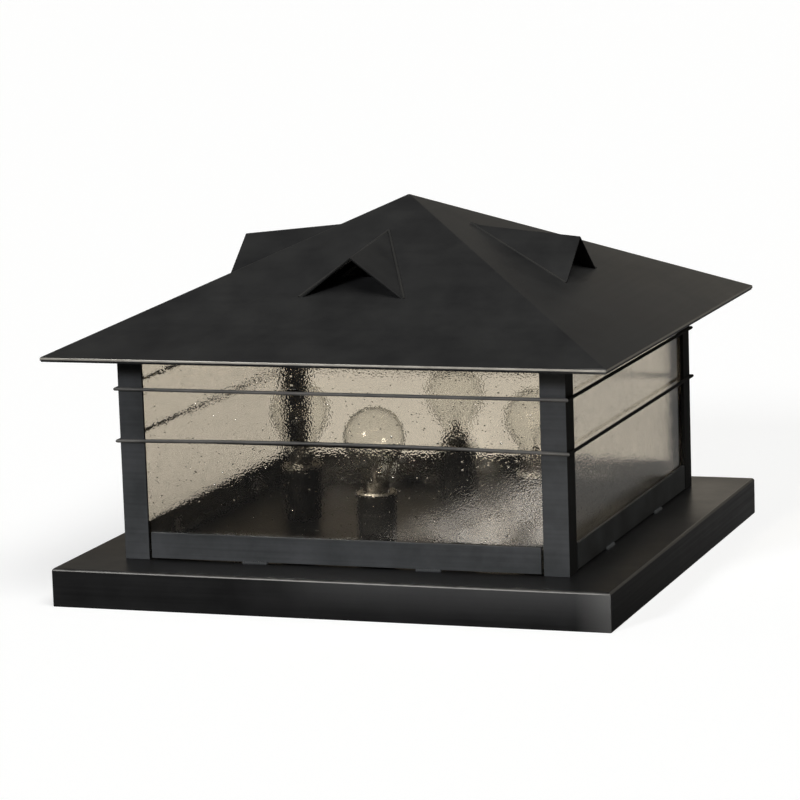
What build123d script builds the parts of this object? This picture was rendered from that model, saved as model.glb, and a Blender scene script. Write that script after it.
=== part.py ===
from build123d import *
from math import hypot, sqrt
import os

# Pier mount light: a square glazed lantern on a low pan, with a hipped roof and four lamps.
# Millimetres. The origin is the centre of the underside, +Z is up, the front faces -Y.

# Base pan, folded from sheet and open underneath
base_width = 560.0
base_height = 38.0
base_sheet = 2.0
base_fold_radius = 3.0
base_lip = 15.0

# Hat-section straps under the pan, with the anchor holes
anchor_spacing_x = 360.0
anchor_spacing_y = 300.0
anchor_hole_diameter = 11.0
strap_crown_width = 40.0
strap_flange = 18.0
strap_sheet = 2.0
strap_end_clearance = 1.0

# Posts and rails of the lantern
lantern_width = 451.0
frame_thickness = 3.2
post_leg = 25.4
post_root_radius = 2.5
bottom_rail_height = 25.0
bottom_rail_leg = 12.0
bottom_rail_lift = 2.0
bottom_rail_end_gap = 2.5
top_rail_height = 25.0
weld_length = 26.0
weld_leg = 3.5
weld_root = 2.5
weld_spacing = 176.0

# Rods round the outside of the posts
rod_diameter = 3.4
rod_clearance = 0.1
upper_rod_height = 206.0
lower_rod_height = 155.0

# Panes and their clips
glass_thickness = 3.0
glass_clearance = 0.2
glass_corner_clearance = 0.5
glass_overlap = 11.0
clip_sheet = 1.2
clip_width = 12.0
clip_grip = 11.0
clip_foot = 4.0
clip_spacing = 220.0

# Hipped roof
roof_width = 562.0
eave_height = 244.0
roof_rise = 127.0
roof_sheet = 3.0
roof_clearance = 0.2

# Gablets on the slopes, and the vents they cover
gablet_mouth_out = 177.0
gablet_width = 102.6
gablet_rise = 39.0
gablet_reach = 111.0
gablet_sheet = 2.0
vent_setback = 35.0
vent_edge = 12.0

# Cleats under the roof, and the screws that clamp them to the top rails
cleat_width = 40.0
cleat_sheet = 2.0
cleat_flange = 16.0
cleat_clearance = 0.3
screw_diameter = 4.0
screw_head_diameter = 8.0
screw_head_height = 2.8
screw_clearance = 0.3
screw_drop = 6.5
screw_tail = 1.5

# Lampholders, in a diamond round the centre
lamp_circle_radius = 125.0
holder_diameter = 39.0
holder_foot_diameter = 36.5
holder_height = 53.0
holder_floor = 24.0
holder_wall = 4.5
holder_seam_drop = 18.0
holder_seam_width = 1.2
holder_seam_depth = 0.6
shell_sheet = 0.6
shell_length = 24.0
shell_rim_height = 2.4
contact_width = 7.0
contact_foot = 4.0
contact_button = 6.0
contact_sheet = 0.8
contact_clearance = 0.3
nipple_diameter = 10.0
nipple_bore = 6.8
nipple_grip = 12.0
nipple_tail = 4.0
nipple_clearance = 0.1
locknut_across_flats = 14.0
locknut_height = 4.0

# Bulbs
bulb_diameter = 60.0
bulb_length = 104.0
bulb_wall = 0.8
bulb_neck_diameter = 24.4
cap_diameter = 26.0
cap_height = 26.0
cap_proud = 5.5
cap_clearance = 0.3
cap_recess = 6.0
cap_insulator_height = 3.0
cap_insulator_diameter = 20.0
cap_contact_diameter = 9.5
cap_contact_height = 1.0
stem_diameter = 7.0
stem_height = 26.0
stem_flare_height = 6.0
stem_flare_edge = 1.0
lead_diameter = 0.9
lead_lap = 3.0
filament_span = 24.0
filament_sag = 7.0
filament_diameter = 1.2
filament_drop = 8.0

# Heights and faces that follow from these
lantern_half = lantern_width / 2
roof_half = roof_width / 2
apex_height = eave_height + roof_rise
roof_pitch = roof_rise / roof_half
roof_drop = roof_sheet * hypot(1, roof_pitch)
frame_inside = lantern_half - frame_thickness
post_inside = lantern_half - post_leg
glass_outside = frame_inside - glass_clearance
glass_inside = glass_outside - glass_thickness
holder_top = base_height + holder_height
cap_top = holder_top + shell_rim_height + cap_proud
bulb_bottom = cap_top - cap_height
bulb_centre = bulb_bottom + bulb_length - bulb_diameter / 2

SIDES = ("front", "right", "back", "left")
CORNERS = ("front_left", "front_right", "back_right", "back_left")


def roof_top(out):
    """Height of the roof's upper face at a distance out from the centre."""
    return apex_height - out * roof_pitch


def roof_under(out):
    """Height of the roof's underside at a distance out from the centre."""
    return roof_top(out) - roof_drop


top_rail_top = roof_under(lantern_half) - roof_clearance
top_rail_bottom = top_rail_top - top_rail_height
glass_top = top_rail_bottom + glass_overlap
screw_height = top_rail_top - screw_drop


def quarter_turns(piece):
    """The piece at the front, right, back and left."""
    return [Rot(0, 0, 90 * turn) * piece for turn in range(4)]


def strip(section, length, centre=0.0):
    """A straight strip along the front side, from a section of (out, up) points."""
    start = centre - length / 2
    corners = [(start, -out, up) for out, up in section]
    return extrude(make_face(Polyline(*corners, close=True)), amount=length, dir=(1, 0, 0))


def turned(section):
    """A round piece on the Z axis, from a section of (radius, up) points."""
    corners = [(radius, 0, up) for radius, up in section]
    return revolve(make_face(Polyline(*corners, close=True)), axis=Axis.Z)


def upright(diameter, low, high, x=0.0, y=0.0):
    """A round bar standing on the point x, y."""
    return Pos(x, y, low) * extrude(Circle(diameter / 2), amount=high - low)


def at_lamp(piece):
    """Move a piece from the Z axis to the front lamp."""
    return Pos(0, -lamp_circle_radius, 0) * piece


def anchor_points():
    """The four anchor positions, in plan."""
    return [(sx * anchor_spacing_x / 2, sy * anchor_spacing_y / 2) for sx in (-1, 1) for sy in (-1, 1)]


def base_pan():
    """Folded pan with a return lip, and holes for the nipples and the anchors."""
    outside = extrude(Rectangle(base_width, base_width), amount=base_height)
    outside = fillet(outside.faces().sort_by(Axis.Z)[-1].edges(), base_fold_radius)
    inside_width = base_width - 2 * base_sheet
    cavity = extrude(Rectangle(inside_width, inside_width), amount=base_height - 2 * base_sheet)
    mouth_width = inside_width - 2 * base_lip
    mouth = extrude(Rectangle(mouth_width, mouth_width), amount=base_sheet)
    pan = outside - Pos(0, 0, base_sheet) * cavity - mouth
    for x, y in anchor_points():
        pan -= upright(anchor_hole_diameter, base_sheet, base_height, x, y)
    nipple_hole = upright(nipple_diameter + 2 * nipple_clearance, base_sheet, base_height)
    for hole in quarter_turns(at_lamp(nipple_hole)):
        pan -= hole
    return pan


def mounting_strap(side):
    """Hat-section strap, its crown under the pan and its flanges level with the lip."""
    crown = strap_crown_width / 2
    flange = crown + strap_flange
    top = base_height - base_sheet
    half = [(flange, 0), (flange, strap_sheet), (crown, strap_sheet), (crown, top)]
    inner = [(crown - strap_sheet, 0), (crown - strap_sheet, top - strap_sheet)]
    outline = half + [(-across, up) for across, up in reversed(half)]
    outline += [(-across, up) for across, up in inner] + list(reversed(inner))
    length = base_width - 2 * (base_sheet + base_lip + strap_end_clearance)
    x = side * anchor_spacing_x / 2
    corners = [(x + across, -length / 2, up) for across, up in outline]
    strap = extrude(make_face(Polyline(*corners, close=True)), amount=length, dir=(0, 1, 0))
    for y in (-anchor_spacing_y / 2, anchor_spacing_y / 2):
        strap -= upright(anchor_hole_diameter, strap_sheet, base_height, x, y)
    return strap


def corner_post():
    """Equal angle at the front left corner, its root rounded."""
    outline = Polyline(
        (-lantern_half, -lantern_half),
        (-post_inside, -lantern_half),
        (-post_inside, -frame_inside),
        (-frame_inside, -frame_inside),
        (-frame_inside, -post_inside),
        (-lantern_half, -post_inside),
        close=True,
    )
    section = make_face(outline)
    root = section.vertices().sort_by_distance((-frame_inside, -frame_inside))[0]
    section = fillet(root, post_root_radius)
    return Pos(0, 0, base_height) * extrude(section, amount=top_rail_top - base_height)


def bottom_rail():
    """Angle that carries the glass on its inward leg, just clear of the pan."""
    low = base_height + bottom_rail_lift
    section = [
        (lantern_half, low),
        (lantern_half, low + bottom_rail_height),
        (frame_inside, low + bottom_rail_height),
        (frame_inside, low + frame_thickness),
        (frame_inside - bottom_rail_leg, low + frame_thickness),
        (frame_inside - bottom_rail_leg, low),
    ]
    return strip(section, 2 * (post_inside - bottom_rail_end_gap))


def stitch_welds():
    """Short fillet beads under the bottom rails, two to a side."""
    rail_low = base_height + bottom_rail_lift
    section = [
        (lantern_half - weld_root, base_height),
        (lantern_half - weld_root, rail_low),
        (lantern_half, rail_low),
        (lantern_half, rail_low + weld_leg),
        (lantern_half + weld_leg, base_height),
    ]
    beads = []
    for centre in (-weld_spacing / 2, weld_spacing / 2):
        beads += quarter_turns(strip(section, weld_length, centre))
    return beads


def top_rail():
    """Flat bar under the roof, cut to its pitch, with an open slot for the roof screw."""
    section = [
        (lantern_half, top_rail_bottom),
        (frame_inside, top_rail_bottom),
        (frame_inside, roof_under(frame_inside) - roof_clearance),
        (lantern_half, top_rail_top),
    ]
    slot_width = screw_diameter + 2 * screw_clearance
    slot_section = [
        (lantern_half + frame_thickness, screw_height),
        (frame_inside - frame_thickness, screw_height),
        (frame_inside - frame_thickness, apex_height),
        (lantern_half + frame_thickness, apex_height),
    ]
    slot_end = Rot(90, 0, 0) * Cylinder(slot_width / 2, 4 * frame_thickness)
    slot = strip(slot_section, slot_width) + Pos(0, -lantern_half, screw_height) * slot_end
    return strip(section, 2 * post_inside) - slot


def glass_pane():
    """Flat pane on the bottom rail's leg, tucked behind the posts and rails."""
    low = base_height + bottom_rail_lift + frame_thickness + glass_clearance
    section = [
        (glass_outside, low),
        (glass_outside, glass_top),
        (glass_inside, glass_top),
        (glass_inside, low),
    ]
    return strip(section, 2 * (glass_inside - glass_corner_clearance))


def glass_clips():
    """Bent clips behind the panes: an angle on each rail's leg, a step under each top rail."""
    face = glass_inside - glass_clearance
    seat = base_height + bottom_rail_lift + frame_thickness
    foot_clip = [
        (face, seat),
        (face, seat + clip_grip),
        (face - clip_sheet, seat + clip_grip),
        (face - clip_sheet, seat + clip_sheet),
        (face - clip_sheet - clip_foot, seat + clip_sheet),
        (face - clip_sheet - clip_foot, seat),
    ]
    step = glass_top + glass_clearance
    head = step + clip_sheet + clip_foot
    step_clip = [
        (frame_inside, head),
        (frame_inside, step),
        (face, step),
        (face, step - clip_grip),
        (face - clip_sheet, step - clip_grip),
        (face - clip_sheet, step + clip_sheet),
        (frame_inside - clip_sheet, step + clip_sheet),
        (frame_inside - clip_sheet, head),
    ]
    clips = []
    for centre in (-clip_spacing / 2, clip_spacing / 2):
        clips += quarter_turns(strip(foot_clip, clip_width, centre))
        clips += quarter_turns(strip(step_clip, clip_width, centre))
    return clips


def rod(height):
    """Round rod along the front of the posts, mitred at both ends."""
    out = lantern_half + rod_clearance + rod_diameter / 2
    length = 2 * (out + rod_diameter)
    bar = Pos(0, -out, height) * Rot(0, 90, 0) * Cylinder(rod_diameter / 2, length)
    corner = out + rod_diameter
    plan = make_face(Polyline((0, 0), (-corner, -corner), (corner, -corner), close=True))
    return bar & Pos(0, 0, height - rod_diameter) * extrude(plan, amount=2 * rod_diameter)


def under_slope(corners, depth):
    """A block straight down from corners (x, out) on the upper face of the front slope."""
    outline = [(x, -out, roof_top(out)) for x, out in corners]
    return extrude(make_face(Polyline(*outline, close=True)), amount=depth, dir=(0, 0, -1))


def gablet_half_width(out):
    """Half the width of the gablet's footprint on the roof, at a distance out."""
    return gablet_width / 2 * (1 - (gablet_mouth_out - out) / gablet_reach)


def roof_panel():
    """One triangular slope, mitred at the hips, with a vent under its gablet."""
    wide_out = gablet_mouth_out - vent_setback
    half = gablet_half_width(wide_out) - vent_edge
    narrow_out = wide_out - half * gablet_reach / (gablet_width / 2)
    plan = make_face(Polyline((-half, -wide_out), (half, -wide_out), (0, -narrow_out), close=True))
    plate = under_slope([(-roof_half, roof_half), (roof_half, roof_half), (0, 0)], roof_drop)
    return plate - extrude(plan, amount=apex_height)


def gablet():
    """Folded sheet over the vent: two wings from a ridge that dies into the slope, open at the mouth."""
    foot_height = roof_top(gablet_mouth_out)
    tip = Vector(0, -gablet_mouth_out, foot_height + gablet_rise)
    foot = Vector(gablet_width / 2, -gablet_mouth_out, foot_height)
    back_out = gablet_mouth_out - gablet_reach
    back = Vector(0, -back_out, roof_top(back_out))
    ridge = back - tip
    wing = (foot - tip).cross(ridge).normalized()
    sheet_drop = gablet_sheet / abs(wing.Z)
    mouth = make_face(Polyline((-foot.X, foot.Y, foot.Z), tip, foot, close=True))
    fold = extrude(mouth, amount=ridge.length, dir=ridge)
    full_width = [(-roof_half, roof_half), (roof_half, roof_half), (roof_half, 0), (-roof_half, 0)]
    return fold - Pos(0, 0, -sheet_drop) * fold - under_slope(full_width, roof_rise)


def roof_cleats():
    """Bent cleats under the slopes, each tapped for a roof screw."""
    face = frame_inside - cleat_clearance
    back = face - cleat_sheet
    end = face - cleat_flange
    low = glass_top + cleat_clearance + glass_clearance
    bend = cleat_sheet * hypot(1, roof_pitch)
    section = [
        (face, low),
        (face, roof_under(face)),
        (end, roof_under(end)),
        (end, roof_under(end) - bend),
        (back, roof_under(back) - bend),
        (back, low),
    ]
    tapped = Pos(0, -back, screw_height) * Rot(90, 0, 0) * Cylinder(screw_diameter / 2, 4 * cleat_sheet)
    return quarter_turns(strip(section, cleat_width) - tapped)


def roof_screws():
    """Pan-head screws through the slots of the top rails into the cleats."""
    head_face = lantern_half + screw_clearance
    tail = frame_inside - cleat_clearance - cleat_sheet - screw_tail
    radius = screw_diameter / 2
    head_radius = screw_head_diameter / 2
    crown = head_face + screw_head_height
    bevel = screw_head_height / 2
    section = [
        (0, tail),
        (radius, tail),
        (radius, head_face),
        (head_radius, head_face),
        (head_radius, crown - bevel),
        (head_radius - bevel, crown),
        (0, crown),
    ]
    return quarter_turns(Pos(0, 0, screw_height) * Rot(90, 0, 0) * turned(section))


def lampholder():
    """Moulded cup, a little narrower at the foot, with a seam round it and a bore for the nipple."""
    top = holder_top
    floor = base_height + holder_floor
    wide = holder_diameter / 2
    foot = holder_foot_diameter / 2
    cavity = wide - holder_wall
    bore = nipple_diameter / 2 + nipple_clearance
    seam = top - holder_seam_drop
    seam_low = seam - holder_seam_width
    groove = wide - holder_seam_depth
    section = [
        (bore, base_height),
        (foot, base_height),
        (wide, seam_low),
        (groove, seam_low),
        (groove, seam),
        (wide, seam),
        (wide, top),
        (cavity, top),
        (cavity, floor),
        (bore, floor),
    ]
    return turned(section)


def screw_shell():
    """Thin threaded-in shell with a rolled rim on the lampholder's edge."""
    inner = cap_diameter / 2 + cap_clearance
    outer = inner + shell_sheet
    rim = holder_diameter / 2
    low = holder_top - shell_length
    high = holder_top + shell_rim_height
    roll = shell_rim_height / 2
    bend = roll * (1 - sqrt(0.5))
    wall = Polyline((rim - roll, 0, holder_top), (outer, 0, holder_top), (outer, 0, low), (inner, 0, low))
    lip = Line((inner, 0, low), (inner, 0, high - roll))
    inner_roll = ThreePointArc(
        (inner, 0, high - roll),
        (inner + bend, 0, high - bend),
        (inner + roll, 0, high),
    )
    crest = Line((inner + roll, 0, high), (rim - roll, 0, high))
    outer_roll = ThreePointArc((rim - roll, 0, high), (rim, 0, high - roll), (rim - roll, 0, holder_top))
    return revolve(make_face(wall + lip + inner_roll + crest + outer_roll), axis=Axis.Z)


def centre_contact():
    """Bent leaf on the lampholder's floor, its crown just under the bulb."""
    floor = base_height + holder_floor
    top = bulb_bottom - contact_clearance
    button = contact_button / 2
    rise = button + contact_foot
    foot = rise + contact_foot
    half = [(foot, floor), (foot, floor + contact_sheet), (rise, floor + contact_sheet), (button, top)]
    inner = [(rise - contact_sheet, floor), (button - contact_sheet, top - contact_sheet)]
    outline = half + [(-across, up) for across, up in reversed(half)]
    outline += [(-across, up) for across, up in inner] + list(reversed(inner))
    corners = [(across, -contact_width / 2, up) for across, up in outline]
    return extrude(make_face(Polyline(*corners, close=True)), amount=contact_width, dir=(0, 1, 0))


def threaded_nipple():
    """Hollow threaded tube that holds the lampholder down and lets the wires through."""
    low = base_height - base_sheet - locknut_height - nipple_tail
    high = base_height + nipple_grip
    return upright(nipple_diameter, low, high) - upright(nipple_bore, low, high)


def locknut():
    """Hexagon nut on the nipple, under the pan."""
    low = base_height - base_sheet - locknut_height
    hexagon = RegularPolygon(locknut_across_flats / 2, 6, major_radius=False)
    nut = Pos(0, 0, low) * extrude(hexagon, amount=locknut_height)
    return nut - upright(nipple_diameter + 2 * nipple_clearance, low, low + locknut_height)


def bulb_glass():
    """Blown envelope: a globe that runs through a hollow sweep into a straight neck."""
    globe_radius = bulb_diameter / 2
    neck_radius = bulb_neck_diameter / 2
    drop = bulb_centre - cap_top
    sweep_radius = (neck_radius**2 + drop**2 - globe_radius**2) / (2 * (globe_radius - neck_radius))
    foot = cap_top - cap_recess + cap_clearance
    globe_middle = Vector(0, 0, bulb_centre)
    sweep_middle = Vector(neck_radius + sweep_radius, 0, cap_top)
    towards_sweep = (sweep_middle - globe_middle).normalized()
    halfway = (Vector(-1, 0, 0) - towards_sweep).normalized()

    def envelope(inset):
        globe = globe_radius - inset
        neck = neck_radius - inset
        top = Vector(0, 0, bulb_centre + globe)
        brow = globe_middle + Vector(globe, 0, 0)
        meet = globe_middle + towards_sweep * globe
        throat = Vector(neck, 0, cap_top)
        crown = ThreePointArc(top, brow, meet)
        hollow = ThreePointArc(meet, sweep_middle + halfway * (sweep_radius + inset), throat)
        straight = Polyline(throat, (neck, 0, foot), (0, 0, foot), top)
        return revolve(make_face(crown + hollow + straight), axis=Axis.Z)

    return envelope(0) - envelope(bulb_wall)


def bulb_cap():
    """Screw cap with a recess for the neck, and the insulator and contact under it."""
    radius = cap_diameter / 2
    recess = bulb_neck_diameter / 2 + cap_clearance
    contact = bulb_bottom + cap_contact_height
    insulator = contact + cap_insulator_height
    section = [
        (0, bulb_bottom),
        (cap_contact_diameter / 2, bulb_bottom),
        (cap_contact_diameter / 2, contact),
        (cap_insulator_diameter / 2, insulator),
        (radius, insulator),
        (radius, cap_top),
        (recess, cap_top),
        (recess, cap_top - cap_recess),
        (0, cap_top - cap_recess),
    ]
    return turned(section)


def filament_mount():
    """Glass stem in the neck, two lead wires and the filament that hangs between them."""
    low = cap_top - cap_recess + cap_clearance
    flare = bulb_neck_diameter / 2 - bulb_wall - cap_clearance
    stem = stem_diameter / 2
    stem_top = low + stem_height
    section = [
        (0, low),
        (flare, low),
        (flare, low + stem_flare_edge),
        (stem, low + stem_flare_height),
        (stem, stem_top),
        (0, stem_top),
    ]
    mount = turned(section)
    tip_height = bulb_centre - filament_drop
    for side in (-1, 1):
        start = Vector(side * stem / 2, 0, stem_top - lead_lap)
        end = Vector(side * filament_span / 2, 0, tip_height)
        run = end - start
        mount += Solid.make_cylinder(lead_diameter / 2, run.length, Plane(start, z_dir=run))
    ends = [(side * filament_span / 2, 0, tip_height) for side in (-1, 1)]
    coil = ThreePointArc(ends[0], (0, -filament_sag, tip_height), ends[1])
    wire = Plane(coil @ 0, z_dir=coil % 0) * Circle(filament_diameter / 2)
    return mount + sweep(wire, path=coil)


def save(name, pieces):
    """Write a node: one piece, or a group of like pieces."""
    solids = [solid for piece in pieces for solid in piece.solids()]
    export_step(solids[0] if len(solids) == 1 else Compound(solids), f"parts/{name}.step")


def save_round(name, piece, places=SIDES):
    """Write a node for each side or corner."""
    for place, turned_piece in zip(places, quarter_turns(piece)):
        save(f"{name}_{place}", [turned_piece])


os.makedirs("parts", exist_ok=True)
save("base_pan", [base_pan()])
save("mounting_strap_left", [mounting_strap(-1)])
save("mounting_strap_right", [mounting_strap(1)])
save_round("corner_post", corner_post(), CORNERS)
save_round("bottom_rail", bottom_rail())
save("stitch_welds", stitch_welds())
save_round("top_rail", top_rail())
save_round("glass_pane", glass_pane())
save("glass_clips", glass_clips())
save_round("upper_rod", rod(upper_rod_height))
save_round("lower_rod", rod(lower_rod_height))
save_round("roof_panel", roof_panel())
save_round("gablet", gablet())
save("roof_cleats", roof_cleats())
save("roof_screws", roof_screws())
save_round("lampholder", at_lamp(lampholder()))
save("screw_shells", quarter_turns(at_lamp(screw_shell())))
save("centre_contacts", quarter_turns(at_lamp(centre_contact())))
save("threaded_nipples", quarter_turns(at_lamp(threaded_nipple())))
save("locknuts", quarter_turns(at_lamp(locknut())))
save_round("bulb_glass", at_lamp(bulb_glass()))
save_round("bulb_cap", at_lamp(bulb_cap()))
save_round("filament_mount", at_lamp(filament_mount()))
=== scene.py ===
"""Pier mount light: finished surfaces, glass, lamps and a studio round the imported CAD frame."""

import math

import bmesh
import bpy
from bpy.props import FloatProperty, FloatVectorProperty, IntProperty, PointerProperty
from mathutils import Matrix, Vector


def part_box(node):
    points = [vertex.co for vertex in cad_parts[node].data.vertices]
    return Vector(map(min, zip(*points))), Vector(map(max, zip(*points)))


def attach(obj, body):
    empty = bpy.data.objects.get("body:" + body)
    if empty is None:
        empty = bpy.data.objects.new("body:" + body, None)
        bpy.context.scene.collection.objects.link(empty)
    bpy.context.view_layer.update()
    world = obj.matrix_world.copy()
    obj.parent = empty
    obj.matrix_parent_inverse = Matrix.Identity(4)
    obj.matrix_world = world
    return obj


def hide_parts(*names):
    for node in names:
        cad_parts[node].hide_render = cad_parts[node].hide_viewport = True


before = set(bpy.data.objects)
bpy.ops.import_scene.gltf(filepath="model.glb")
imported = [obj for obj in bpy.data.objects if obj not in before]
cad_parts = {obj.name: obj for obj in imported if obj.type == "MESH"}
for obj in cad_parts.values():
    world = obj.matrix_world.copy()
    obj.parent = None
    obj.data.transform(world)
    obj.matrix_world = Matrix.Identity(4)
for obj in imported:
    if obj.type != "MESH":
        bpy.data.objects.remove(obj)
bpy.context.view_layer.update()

bl_info = {
    "name": "Pier mount light",
    "version": (1, 0, 0),
    "blender": (4, 5, 0),
    "location": "View3D > Sidebar > Pier light",
    "description": "Dresses the packed frame of a pier mount light and sets it in a studio",
    "category": "Object",
}

MM = 0.001
SIDES = ("front", "right", "back", "left")
CORNERS = ("front_left", "front_right", "back_right", "back_left")
WHITE = (1, 1, 1)

# The kinds of node that are used most
MATH = "ShaderNodeMath"
VECTOR_MATH = "ShaderNodeVectorMath"
RANGE = "ShaderNodeMapRange"
MIX = "ShaderNodeMix"
NOISE = "ShaderNodeTexNoise"
MAPPING = "ShaderNodeMapping"
TO_XYZ = "ShaderNodeSeparateXYZ"
FROM_XYZ = "ShaderNodeCombineXYZ"
RANDOM = "FunctionNodeRandomValue"
ON_POINTS = "GeometryNodeInstanceOnPoints"

# Measures of the frame, read from its own boxes
PAN_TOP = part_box("base_pan")[1].z
POST_FACE = -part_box("corner_post_front_left")[0].y
EAVE = -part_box("roof_panel_front")[0].y
EAVE_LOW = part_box("roof_panel_front")[0].z
GABLET_LOW, GABLET_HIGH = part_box("gablet_front")
ROOF_PITCH = (GABLET_HIGH.z - GABLET_LOW.z) / (GABLET_HIGH.y - GABLET_LOW.y)
PANE_LOW, PANE_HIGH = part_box("glass_pane_front")
HOLDER_LOW, HOLDER_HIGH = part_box("lampholder_front")
HOLDER_RADIUS_MM = (HOLDER_HIGH.x - HOLDER_LOW.x) / 2 / MM
LAMP_OUT = -(HOLDER_LOW.y + HOLDER_HIGH.y) / 2


def levels(node):
    """The lowest and highest level of a CAD node, in mm."""
    low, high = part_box(node)
    return low.z / MM, high.z / MM


def linear(hex_colour):
    """An sRGB hex colour as linear numbers."""
    parts = [int(hex_colour[i : i + 2], 16) / 255 for i in (1, 3, 5)]
    return tuple(p / 12.92 if p <= 0.04045 else ((p + 0.055) / 1.055) ** 2.4 for p in parts)


def times(tone, share):
    """A colour made darker or paler."""
    return tuple(share * part for part in tone)


def colour(name, description, hex_colour):
    """A colour in the panel, given as sRGB hex."""
    tone = linear(hex_colour)
    return FloatVectorProperty(
        name=name, description=description, default=tone, size=3, subtype="COLOR", min=0, max=1
    )


def number(name, description, default, **kind):
    """A number in the panel."""
    return FloatProperty(name=name, description=description, default=default, **kind)


def length(name, description, millimetres):
    """A size in the panel, given in millimetres."""
    return number(name, description, millimetres * MM, unit="LENGTH", precision=4)


def degrees(name, description, turn):
    """A turn in the panel, given in degrees."""
    return number(name, description, math.radians(turn), subtype="ANGLE")


class PIERLIGHT_PG_steel(bpy.types.PropertyGroup):
    """Coated and plated steel."""

    coat: colour("Coat", "Powder coat where it lies thick", "#151515")
    coat_thin: colour("Thin coat", "Powder coat where it lies thin", "#1C1C1C")
    roof: colour("Roof coat", "Roof's powder coat where it lies thick", "#202020")
    roof_thin: colour("Thin roof coat", "Roof's powder coat where it lies thin", "#2D2D2C")
    bar: colour("Bar", "Blackened bar where the blacking took well", "#373939")
    bar_pale: colour("Pale bar", "Blackened bar where the steel shows through", "#48494A")
    rod: colour("Rod", "Drawn rod where the blacking took well", "#54534F")
    rod_pale: colour("Pale rod", "Drawn rod where the steel shows through", "#74716B")
    # painted shade: a near-black given to frame faces that turn inwards or to the sides, to the side rods and
    # to the edges of the gablets' mouths
    painted_shade: colour("Dull black", "Blacking left dry, on faces that turn inwards", "#0B0B0A")
    rubbed: colour("Rubbed edge", "Steel on the eave, where the coat is rubbed off", "#8D8A83")
    burnished: colour("Burnished fold", "Steel on the folds, where the coat is rubbed thin", "#4C4B49")
    # painted reflection: a paler tone at the front right corner, standing in for the pale floor mirrored
    # there
    corner_sheen: colour("Corner sheen", "Painted reflection of the pale floor at the front right corner", "#686764")
    # the seam's tone, paler than the roof's, is a painted highlight on a real solder bead
    solder: colour("Solder", "Painted highlight on the solder seam under the roof's coat", "#353431")
    zinc: colour("Zinc", "Bright zinc plate", "#B9BBBB")
    ease: length("Eased edge", "Width of the ease on sheared and rolled edges", 0.5)
    fold: length("Fold", "Radius of the folds on the roof", 1)
    seam: length("Seam", "Radius of the solder seam along the foot of a gablet", 1.3)
    hem_sheet: length("Hem", "Thickness of the hem under the eaves", 1.5)
    hem_back: length("Hem set back", "From the eave's face back to the hem", 1)
    eave_coat: length("Eave coat", "Lower part of the eave's face, where the coat is left", 1.3)
    hem_width: length("Hem width", "Width of the hem under the eaves", 12)
    ripple: length("Weld ripple", "Spacing of the ripples in a weld bead", 2.2)
    bow: length("Bowed rod", "Rise of the lower front rod at its middle, where it was sprung in", 3)


class PIERLIGHT_PG_glass(bpy.types.PropertyGroup):
    """Seeded glass."""

    tint: colour("Tint", "Colour that one pane lets through", "#DDD7CC")
    wave_height: length("Wave height", "Height of the waves on each face", 0.12)
    wave_length: length("Wave length", "Spacing of the waves on each face", 14)
    seeds: IntProperty(name="Seeds", description="Bubbles in one pane", default=1800, min=0)
    seed_small: length("Smallest seed", "Radius of the smallest bubbles", 0.2)
    seed_large: length("Largest seed", "Radius of the largest bubbles", 0.75)
    draw: IntProperty(name="Draw", description="Start of the random draws", default=11)


class PIERLIGHT_PG_lamps(bpy.types.PropertyGroup):
    """Lampholders and bulbs."""

    phenolic: colour("Phenolic", "Moulded lampholder", "#0B0B0A")
    nickel: colour("Nickel", "Plated screw shell", "#EAE7E0")
    brass: colour("Tinned brass", "Caps, contacts and nipples", "#73716D")
    bulb: colour("Bulb", "Blown bulb glass", "#FCFCFA")
    tungsten: colour("Tungsten", "Filament and lead wires", "#6E6A66")
    cap_pitch: length("Cap thread", "Pitch of the cap's rolled thread", 3.6)
    nipple_pitch: length("Nipple thread", "Pitch of the nipple's thread", 1)
    coil: length("Filament coil", "Radius of the filament's coil", 0.5)


class PIERLIGHT_PG_studio(bpy.types.PropertyGroup):
    """Camera, floor and light."""

    floor: colour("Floor", "Floor paper", "#B4B4B2")
    floor_dim: colour("Dim floor", "Floor paper as the steel mirrors it", "#2C2B2A")
    mirrored: number("Mirrored", "Share of the white floor behind that reflections show", 0.2)
    azimuth: degrees("Azimuth", "Camera's turn to the right", 19.539)
    elevation: degrees("Elevation", "Camera's height above the horizon", 9.532)
    roll: degrees("Roll", "Camera's tilt", -1.895)
    distance: length("Distance", "From the camera to the point that it looks at", 3512.7)
    target: FloatVectorProperty(
        name="Target",
        description="Point that the camera looks at",
        default=(-0.01683, 0, 0.16178),
        subtype="TRANSLATION",
        unit="LENGTH",
    )
    lens: number("Lens", "Focal length in millimetres", 156.67)
    room: colour("Room", "Tone of the room in reflections", "#FFF3DE")
    floor_lift: number("Floor lift", "Light added to the floor where it is looked at", 0.62)
    key: number("Key", "Strength of the frontal light", 1.6)
    top: number("Top", "Strength of the soft light overhead", 2.2)
    side: number("Side", "Power of the side light", 0.9, unit="POWER")
    spark: number("Spark", "Power of the lamp that shows in gloss and glass", 75, unit="POWER")
    card: number("Card", "Power of the card in front", 5.2, unit="POWER")
    bounce: number("Bounce", "Power of the pale floor by the base", 5.5, unit="POWER")
    fill: number("Fill", "Strength of the room's even light", 0.06)
    horizon: number("Horizon", "Strength of the room near the horizon, in reflections", 0.27)
    glow: number("Glow", "Strength of the warm backdrop behind, in reflections", 0.6)
    overhead: number("Overhead", "Strength of the room overhead, in reflections", 0.09)


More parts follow.
